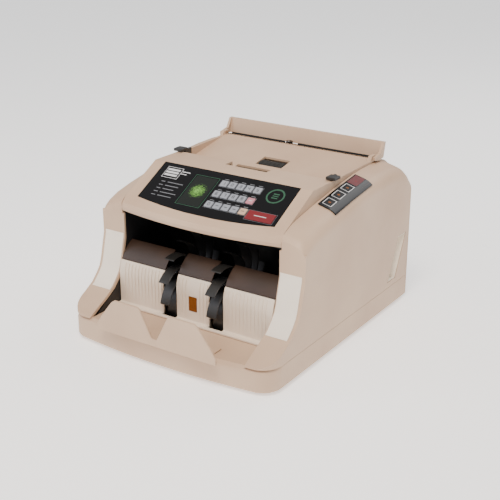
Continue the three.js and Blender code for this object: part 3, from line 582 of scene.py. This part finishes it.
def guard_ribs():
    """Fine upright ribs on the guard's face, which keep the notes from sticking to it."""
    pitch, root_half, crest_half = 4.4 * MM, 0.55 * MM, 0.3 * MM
    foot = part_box("stop_plate")[0].z + 5 * MM
    slot_half = WHEEL_HALF + 4 * MM
    window_half = 7 * MM
    count = int((POCKET - 5 * MM) / pitch)
    ribs = []
    for i in range(-count, count + 1):
        x = i * pitch
        if abs(abs(x) - WHEEL_X) < slot_half or abs(x) < window_half:
            continue
        spine = [(-GUARD_R, foot - AXLE.z, (-1, 0)), (-GUARD_R, 0, (-1, 0))]
        for k in range(1, 6):
            angle = math.radians(180 - 5 * k)
            out = (math.cos(angle), math.sin(angle))
            spine.append((GUARD_R * out[0], GUARD_R * out[1], out))
        rings = []
        for n, (u, v, out) in enumerate(spine):
            proud = (0.1 if n in (0, len(spine) - 1) else 0.75) * MM
            inner = (AXLE.y + u - out[0] * 0.3 * MM, AXLE.z + v - out[1] * 0.3 * MM)
            outer = (AXLE.y + u + out[0] * proud, AXLE.z + v + out[1] * proud)
            rings.append(
                [
                    (x - root_half, *inner),
                    (x + root_half, *inner),
                    (x + crest_half, *outer),
                    (x - crest_half, *outer),
                ]
            )
        ribs.append(loft("rib", rings))
    piece("guard_ribs", join_meshes("guard_ribs", ribs), PALE, "housing")


def guard_shade_hood():
    """Dark brown strip that carries on the guard's curve up behind its top edge, in three lengths: painted
    shade for the shadowed top of the guard.
    """
    edge = WHEEL_HALF + 2.5 * MM
    spans = (
        (-POCKET, -WHEEL_X - edge),
        (-WHEEL_X + edge, WHEEL_X - edge),
        (WHEEL_X + edge, POCKET),
    )
    outer = GUARD_R - 0.6 * MM
    inner = outer - 1.6 * MM
    rear, front = 112, 152
    profile = arc(AXLE.y, AXLE.z, outer, 12, rear, front - rear)
    profile += arc(AXLE.y, AXLE.z, inner, 12, front, rear - front)
    lengths = [bar("hood", profile, "x", low, high) for low, high in spans]
    hood = piece("guard_shade_hood", join_meshes("guard_shade_hood", lengths), BROWN_PAINTED_SHADE, "housing")
    soften(hood, 0.3, 2, 50)


def deck_shadow_line():
    """Black rubber strip on the front edge of the rear deck, under the flap's bar, open at the thickness
    dial: painted shade for the dark gap under the bar.
    """
    dial_low, dial_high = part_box("gap_screw")
    front = dial_high.y + 0.3 * MM
    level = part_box("rear_cover")[1].z
    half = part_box("hopper_tray")[1].x - 3 * MM
    middle = (dial_low.x + dial_high.x) / 2
    reach = 8.6 * MM
    profile = [
        (front, level - 2.0 * MM),
        (front, level + 1.2 * MM),
        (front + 0.4 * MM, level + 1.6 * MM),
        (front + 1.0 * MM, level + 1.6 * MM),
        (front + 1.2 * MM, level + 1.2 * MM),
        (front + 1.2 * MM, level + 0.1 * MM),
        (front + 0.4 * MM, level - 2.0 * MM),
    ]
    spans = ((-half, middle - reach), (middle + reach, half))
    lengths = [bar("trim", profile, "x", low, high) for low, high in spans]
    trim = piece("deck_shadow_trim", join_meshes("deck_shadow_trim", lengths), RUBBER, "housing")
    soften(trim, 0.15, 2, 40)


# Turned pieces: shafts, rollers, pulleys, feet


def turned(node, steps, segments=64):
    """A lathe copy of a CAD piece whose axis is X; steps are (share of length, share of radius)."""
    low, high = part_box(node)
    middle = (low + high) / 2
    radius = (high.z - low.z) / 2
    rings = []
    for along, size in steps:
        x = low.x + along * (high.x - low.x)
        rings.append([(x, middle.y + u, middle.z + v) for u, v in arc(0, 0, size * radius, segments)])
    slot = SLOT_OF[node]
    made = piece(node + "_turned", loft(node, rings), FINISH[slot], BODY_OF[node], [node])
    return soften(made, 0.12, 2, 35)


def shafts_and_rollers():
    """Shafts with a clip groove near one end, rollers with round grooves, and flanged pulleys."""
    for node in ("stacker_shaft", "feed_shaft", "pickup_shaft"):
        groove = [(0.985, 1), (0.985, 0.82), (0.99, 0.82), (0.99, 1)]
        turned(node, [(0, 0.8), (0.004, 1), *groove, (0.996, 1), (1, 0.8)])
    tyre = [(0, 0.55), (0, 0.93), (0.04, 1)]
    for k in range(1, 6):
        at = k / 6
        tyre += [(at - 0.035, 1), (at - 0.02, 0.95), (at + 0.02, 0.95), (at + 0.035, 1)]
    tyre += [(0.96, 1), (1, 0.93), (1, 0.55)]
    for node in ("feed_roller_right", "feed_roller_left", "pickup_roller"):
        turned(node, tyre)
    flanged = [(0, 0.5), (0, 1), (0.12, 1), (0.2, 0.985), (0.8, 0.985), (0.88, 1), (1, 1), (1, 0.5)]
    for node in ("stacker_pulley", "feed_pulley", "pickup_pulley"):
        turned(node, flanged)


def upright_lathe(name, x, y, steps, material, body, nodes=(), segments=48):
    """A lathe piece about a vertical axis; steps are (height, radius)."""
    rings = [[(x + u, y + v, z) for u, v in arc(0, 0, radius, segments)] for z, radius in steps]
    return soften(piece(name, loft(name, rings), material, body, nodes), 0.2, 2, 35)


def feet():
    """Rubber feet with a hollow underneath."""
    for node in ("foot_front_right", "foot_front_left", "foot_rear_right", "foot_rear_left"):
        low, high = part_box(node)
        middle = (low + high) / 2
        radius = (high.x - low.x) / 2
        steps = (
            (1.1 * MM, 0.35 * radius),
            (0.9 * MM, 0.42 * radius),
            (0, 0.48 * radius),
            (0, 0.86 * radius),
            (0.5 * MM, 0.95 * radius),
            (high.z, radius),
            (high.z, 0.4 * radius),
        )
        upright_lathe(node + "_pad", middle.x, middle.y, steps, RUBBER, "housing", [node])


def thickness_dial():
    """Knurled dial of the note thickness screw, with a white mark on top."""
    low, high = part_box("gap_screw")
    x, y = (low.x + high.x) / 2, (low.y + high.y) / 2
    radius = (high.x - low.x) / 2
    rim = high.z - 3.4 * MM
    points, groove = 72, 0.3 * MM
    knurl = []
    for i in range(points):
        size = radius - (groove if i % 3 == 0 else 0)
        angle = math.tau * i / points
        knurl.append((x + size * math.cos(angle), y + size * math.sin(angle)))
    stem = bar("stem", arc(x, y, 2 * MM, 24), "z", low.z, rim)
    dial = join_meshes("dial", [bar("rim", knurl, "z", rim, high.z - 0.1 * MM), stem])
    piece("thickness_dial", dial, NYLON, "thickness_screw", ["gap_screw"])
    line = rectangle(x - 0.3 * MM, x + 0.3 * MM, y - radius * 0.85, y)
    mark = bar("mark", line, "z", high.z - 0.1 * MM, high.z)
    piece("thickness_mark", mark, INK_WHITE, "thickness_screw")


# Panel prints

PRINT_LOW, PRINT_HIGH = 0.0, 0.06 * MM


def stroke(u0, u1, v0, v1, level=0.0):
    """A printed rectangle on the panel, in millimetres of the panel's plane."""
    outline = rectangle(u0 * MM, u1 * MM, v0 * MM, v1 * MM)
    return bar("stroke", outline, "z", level + PRINT_LOW, level + PRINT_HIGH, PANEL)


def frame_strokes(u, v, half_u, half_v, line, level=0.0):
    """Four strokes round a rectangle."""
    return [
        stroke(u - half_u, u + half_u, v + half_v, v + half_v + line, level),
        stroke(u - half_u, u + half_u, v - half_v - line, v - half_v, level),
        stroke(u - half_u - line, u - half_u, v - half_v - line, v + half_v + line, level),
        stroke(u + half_u, u + half_u + line, v - half_v - line, v + half_v + line, level),
    ]


def ink(name, strokes, material, body="housing"):
    """One printed piece from several strokes."""
    piece(name, join_meshes(name, strokes), material, body)


def panel_prints():
    """Lines at the panel's left, frames round the keys, and green lines by the screen and at the right."""
    light = [stroke(-74, -58, v, v - 2.6) for v in (-8, -12, -16)]
    light += frame_strokes(-65.5, -13.6, 9.5, 7.6, 0.5)
    light.append(stroke(-55, -45, -9, -10.2))
    light.append(stroke(-55, -48, -12.5, -13.5))
    ink("panel_light_prints", light, INK_WHITE)

    dim = []
    for row in range(5):
        v = -27 - row * 5
        dim.append(stroke(-71, -66, v, v - 1))
        dim.append(stroke(-63, -43 - (row % 3) * 3, v, v - 1))
    for node in NODES:
        if node.startswith("key_"):
            (u, v, _), (half_u, half_v) = on_panel(node)
            dim += frame_strokes(u / MM, v / MM, half_u / MM + 0.5, half_v / MM + 0.5, 0.3)
            if node != "key_start":
                dim.append(stroke(u / MM - 2.6, u / MM + 2.6, v / MM + 6, v / MM + 6.8))
    ink("panel_grey_prints", dim, INK_GREY)

    (u, v, _), (half_u, half_v) = on_panel("display_window")
    green = frame_strokes(u / MM, v / MM, half_u / MM + 0.8, half_v / MM + 0.8, 0.5)
    inner, outer = 8.2 * MM, 10 * MM
    section = (
        (inner, PRINT_LOW),
        (inner, PRINT_HIGH),
        (outer, PRINT_HIGH),
        (outer, PRINT_LOW),
        (inner, PRINT_LOW),
    )
    ring = []
    for radius, height in section:
        loop = arc(64 * MM, -17 * MM, radius, 48)
        ring.append([PANEL @ Vector((u, v, height)) for u, v in loop])
    green.append(loft("ring", ring, closed=False))
    levels = ((-13.5, -15), (-16.4, -17.6), (-19, -20.4))
    green += [stroke(60.5, 67.5, top, bottom) for top, bottom in levels]
    ink("panel_green_prints", green, INK_GREEN)


# Strokes of the seven-part figures: each stroke's two ends, as shares of half the width and half the height
FIGURE_PARTS = {
    "top": ((-1, 1), (1, 1)),
    "middle": ((-1, 0), (1, 0)),
    "bottom": ((-1, -1), (1, -1)),
    "upper_left": ((-1, 0), (-1, 1)),
    "upper_right": ((1, 0), (1, 1)),
    "lower_left": ((-1, -1), (-1, 0)),
    "lower_right": ((1, -1), (1, 0)),
}
FIGURES = (
    "top bottom upper_left upper_right lower_left lower_right",
    "upper_right lower_right",
    "top upper_right middle lower_left bottom",
    "top upper_right middle lower_right bottom",
    "upper_left upper_right middle lower_right",
    "top upper_left middle lower_right bottom",
    "top upper_left middle lower_left lower_right bottom",
    "top upper_right lower_right",
    "top middle bottom upper_left upper_right lower_left lower_right",
    "top middle bottom upper_left upper_right lower_right",
)


def key_figures():
    """Plain figures 1 to 9 and 0 on the grey keys of the first two rows, and a bar on the rest."""
    digits = [("key_top_%d" % (i + 1), i + 1) for i in range(5)]
    digits += [("key_middle_%d" % (i + 1), i + 6) for i in range(4)] + [("key_bottom_1", 0)]
    half_line, half_wide, half_tall = 0.28, 1.1, 1.7
    sunk = 0.03 * MM
    for node, digit in digits:
        (u, v, level), _ = on_panel(node)
        strokes = []
        for part in FIGURES[digit].split():
            (u0, v0), (u1, v1) = FIGURE_PARTS[part]
            strokes.append(
                stroke(
                    u / MM + half_wide * u0 - half_line,
                    u / MM + half_wide * u1 + half_line,
                    v / MM + half_tall * v0 - half_line,
                    v / MM + half_tall * v1 + half_line,
                    level - sunk,
                )
            )
        ink(node + "_figure", strokes, PAINTED, BODY_OF[node])
    barred = ["key_bottom_%d" % (i + 2) for i in range(4)] + ["key_middle_5", "key_start"]
    for node in barred:
        (u, v, level), (half_u, _) = on_panel(node)
        half = half_u / MM * 0.45
        mark = [stroke(u / MM - half, u / MM + half, v / MM - 0.4, v / MM + 0.4, level - sunk)]
        tone = INK_WHITE if node in ("key_start", "key_middle_5") else PAINTED
        ink(node + "_mark", mark, tone, BODY_OF[node])


def indicator_signs():
    """Four light frames with a lamp in each, printed along the strip, and a red field at its rear end."""
    low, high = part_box("indicator_strip")
    surface = surface_of("indicator_strip")
    above = high.z + 0.02
    length = high.y - low.y
    x0, x1 = low.x + 2.5 * MM, high.x - 8 * MM
    line = 0.7 * MM

    def patch(name, xa, xb, ya, yb, material, lift=0.0):
        """A printed patch draped on the strip."""
        corners = [(xa, ya, above), (xb, ya, above), (xb, yb, above), (xa, yb, above)]
        mesh = draped(name, surface, (0, 0, -1), corners, lift, 0.05, 3, 3)
        piece(name, mesh, material, "housing")

    first, pitch, frame_long = 0.05 * length, 0.235 * length, 0.17 * length
    reach = 1.3 * MM
    for i in range(4):
        ya = low.y + first + pitch * i
        yb = ya + frame_long
        tone = INK_WHITE if i < 3 else INK_RED
        patch("sign_%d_front" % (i + 1), x0, x1, ya, ya + line, tone)
        patch("sign_%d_rear" % (i + 1), x0, x1, yb - line, yb, tone)
        patch("sign_%d_inner" % (i + 1), x0, x0 + line, ya, yb, tone)
        patch("sign_%d_outer" % (i + 1), x1 - line, x1, ya, yb, tone)
        x, y = (x0 + x1) / 2, (ya + yb) / 2
        lamp = AMBER if i < 3 else KEY_RED
        patch("sign_%d_lamp" % (i + 1), x - reach, x + reach, y - reach, y + reach, lamp)
    x0, x1 = low.x + 1.5 * MM, high.x - 3 * MM
    ya, yb = high.y - 0.27 * length, high.y - 1.5 * MM
    patch("strip_red_field", x0, x1, ya, yb, INK_RED, -0.03)


# Fasteners and electrical details


def screw(name, place, out, radius_mm=3.0):
    """Pan-head screw with a cross recess; its head stands along the given direction."""
    turn = Vector((0, 0, 1)).rotation_difference(Vector(out)).to_matrix().to_4x4()
    at = Matrix.Translation(place) @ turn
    radius = radius_mm * MM
    rings = []
    for height, size in ((0, 1.0), (0.25, 1.0), (0.45, 0.93), (0.58, 0.75), (0.64, 0.5)):
        rings.append([at @ Vector((u, v, height * radius)) for u, v in arc(0, 0, size * radius, 32)])
    head = piece(name, loft(name, rings), ZINC, "housing")
    slots = []
    for long, short in ((0.6, 0.12), (0.12, 0.6)):
        outline = rectangle(-long * radius, long * radius, -short * radius, short * radius)
        slots.append(bar("slot", outline, "z", 0.5 * radius, 0.66 * radius, at))
    piece(name + "_recess", join_meshes(name + "_recess", slots), PAINTED, "housing")
    return soften(head, 0.1, 2)


def rear_details():
    """Blades of the mains inlet, and the on and off marks of its rocker switch."""
    low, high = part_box("power_inlet")
    middle = (low + high) / 2
    half_u, half_v = 1 * MM, 2.2 * MM
    for i, (along, up) in enumerate(((-7, 2), (7, 2), (0, -4))):
        u, v = middle.x + along * MM, middle.z + up * MM
        outline = rectangle(u - half_u, u + half_u, v - half_v, v + half_v)
        blade = bar("blade", outline, "y", low.y + 3 * MM, high.y - 4 * MM)
        soften(piece("inlet_blade_%d" % (i + 1), blade, BRASS), 0.3, 2)
    low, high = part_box("power_switch")
    middle = (low + high) / 2
    # Each mark's half width, then its foot and head above the rocker's middle, in millimetres
    marks = (("rocker_on_mark", 0.5, 3, 6.5), ("rocker_off_mark", 1.7, -5.2, -4.2))
    for name, half, foot, head in marks:
        z0, z1 = middle.z + foot * MM, middle.z + head * MM
        outline = rectangle(middle.x - half * MM, middle.x + half * MM, z0, z1)
        mark = bar(name, outline, "y", high.y - 1.4 * MM, high.y - 0.5 * MM)
        piece(name, mark, INK_WHITE, "power_rocker")


def base_details():
    """Screws that hold the base from below."""
    for side, name in ((1, "right"), (-1, "left")):
        for i, y in enumerate((-90 * MM, 100 * MM)):
            screw("under_screw_%s_%d" % (name, i + 1), (side * 60 * MM, y, 3.1 * MM), (0, 0, -1))


def inside_details():
    """Chips and capacitors of the main board, and the motor's face screws."""
    low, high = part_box("main_board")
    inner = low.x
    # Each chip's place along and up the board, then its width and height, in millimetres
    chips = ((20, 30, 12, 9), (45, 50, 18, 18), (70, 30, 9, 5), (75, 60, 8, 12))
    for i, (along, up, wide, tall) in enumerate(chips):
        y, z = low.y + along * MM, low.z + up * MM
        chip = bar("chip", rectangle(y, y + wide * MM, z, z + tall * MM), "x", inner - 2 * MM, inner)
        soften(piece("board_chip_%d" % (i + 1), chip, NYLON), 0.3, 2)
    for i in range(4):
        y, z = low.y + (15 + 17 * i) * MM, low.z + 12 * MM
        can = bar("can", arc(y, z, 4 * MM, 32), "x", inner - 9 * MM, inner)
        soften(piece("board_capacitor_%d" % (i + 1), can, ZINC), 0.6, 3)
    low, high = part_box("drive_motor")
    middle = (low + high) / 2
    radius = (high.z - low.z) / 2
    for i, (y, z) in enumerate(arc(middle.y, middle.z, 0.65 * radius, 3)):
        screw("motor_screw_%d" % (i + 1), (high.x, y, z), (1, 0, 0), 2.2)


column_highlight_plates()
grip_painted_light_liners()
for side, name in ((1, "right"), (-1, "left")):
    stacker_wheel(side, name)
guard_ribs()
guard_shade_hood()
deck_shadow_line()
shafts_and_rollers()
feet()
thickness_dial()
panel_prints()
key_figures()
indicator_signs()
rear_details()
base_details()
inside_details()


# Floor, light and camera


def studio():
    """White sweep, an even white room and three soft boxes."""
    reach = 14
    corners = [(x, y, 0) for x, y in rectangle(-reach, reach, -reach, reach)]
    floor = mesh_of("floor", corners, [(0, 1, 2, 3)])
    ground = bpy.data.objects.new("floor", floor)
    bpy.context.scene.collection.objects.link(ground)
    paper, _, shader, _ = blank("white_paper_sweep")
    shader.inputs["Base Color"].default_value = linear("#f4f3f2")
    shader.inputs["Roughness"].default_value = 0.9
    shader.inputs["Emission Color"].default_value = linear("#ffffff")
    shader.inputs["Emission Strength"].default_value = 0.75
    ground.data.materials.append(paper)

    world = bpy.data.worlds.new("soft_white_room")
    bpy.context.scene.world = world
    world.use_nodes = True
    sky = world.node_tree.nodes["Background"]
    sky.inputs["Color"].default_value = linear("#f6f7fa")
    sky.inputs["Strength"].default_value = 0.62

    def soft_box(name, place, size, power, tone):
        """A square lamp that faces the machine."""
        data = bpy.data.lights.new(name, "AREA")
        data.shape = "SQUARE"
        data.size = size
        data.energy = power
        data.color = linear(tone)[:3]
        lamp = bpy.data.objects.new(name, data)
        lamp.location = place
        lamp.rotation_euler = (Vector((0, 0, 0.08)) - Vector(place)).to_track_quat("-Z", "Y").to_euler()
        bpy.context.scene.collection.objects.link(lamp)

    soft_box("key_soft_box", (0.3, -0.75, 1.5), 0.6, 26, "#fff1e0")
    soft_box("fill_soft_box", (-1.1, -0.9, 0.7), 0.9, 6, "#f4f4ff")
    soft_box("rear_soft_box", (0.3, 1.1, 1.1), 0.8, 7, "#ffffff")


def camera():
    """A long lens from the front right, a little above the panel."""
    azimuth, elevation, distance = math.radians(33.6), math.radians(21.4), 1.0938
    target = Vector((0.0059, 0.0085, 0.0782))
    away = Vector(
        (
            math.sin(azimuth) * math.cos(elevation),
            -math.cos(azimuth) * math.cos(elevation),
            math.sin(elevation),
        )
    )
    data = bpy.data.cameras.new("camera")
    data.sensor_width = 36
    data.lens = 73.3
    made = bpy.data.objects.new("camera", data)
    made.location = target + away * distance
    made.rotation_euler = (-away).to_track_quat("-Z", "Y").to_euler()
    bpy.context.scene.collection.objects.link(made)
    bpy.context.scene.camera = made


studio()
camera()
